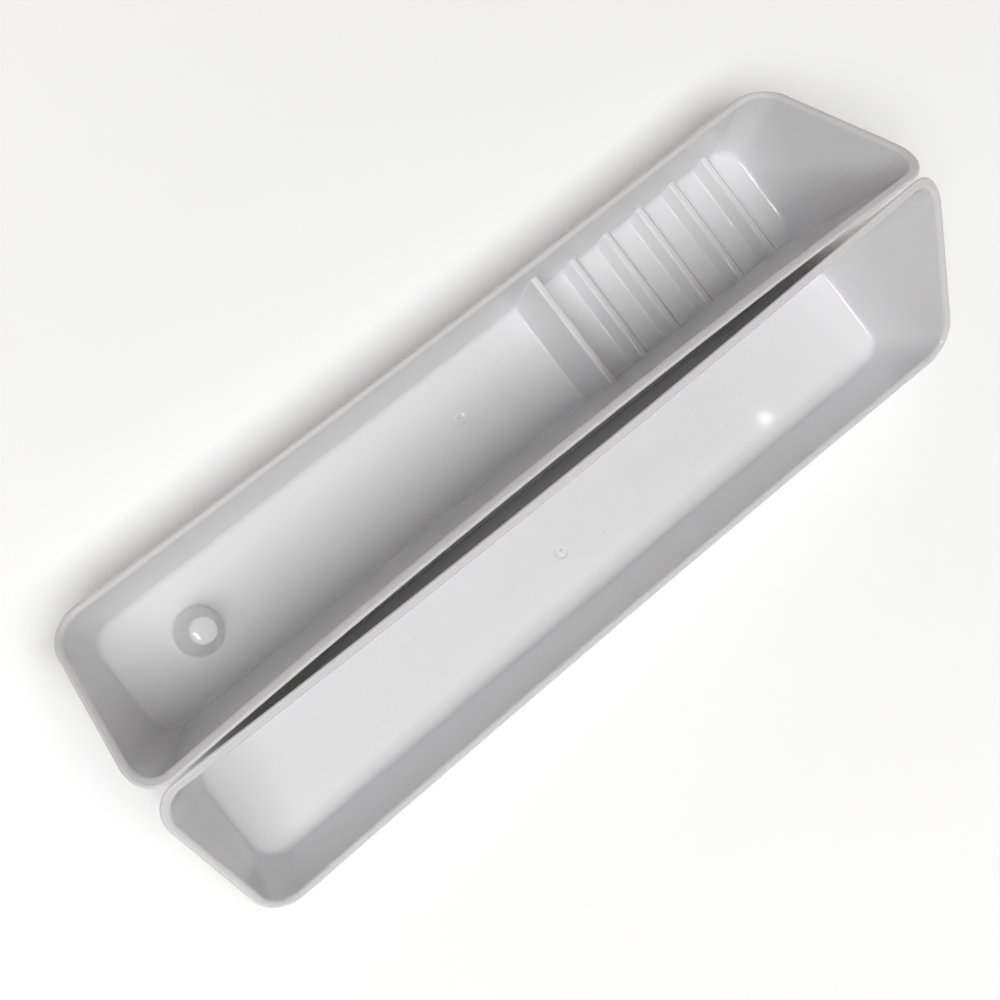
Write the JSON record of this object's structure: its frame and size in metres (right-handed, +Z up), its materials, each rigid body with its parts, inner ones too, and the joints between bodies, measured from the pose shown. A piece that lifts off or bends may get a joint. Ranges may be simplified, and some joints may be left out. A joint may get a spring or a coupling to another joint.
{
  "type": "counting tray",
  "caption": "Long narrow open trays with a tall back wall, low front wall and sloping rim, a plain tray beside a tray with a post, a divider and low ridges on its floor.",
  "frame": {"origin": "middle of the pair of trays at the surface that they stand on", "axes": "+X along the trays towards the ridges, +Y across them towards the ridged tray, +Z up"},
  "size_m": [0.2706, 0.097, 0.0639],
  "materials": {
    "white_plastic": "glossy white, smooth"
  },
  "bodies": {
    "ridged": {"ridged_tray": "white_plastic"},
    "plain": {"plain_tray": "white_plastic"}
  },
  "joints": [
    {"name": "plain_tray_lift", "type": "slide", "parent": "ridged", "child": "plain", "axis": [0, 0, 1], "range_m": [0, 0.12]}
  ]
}
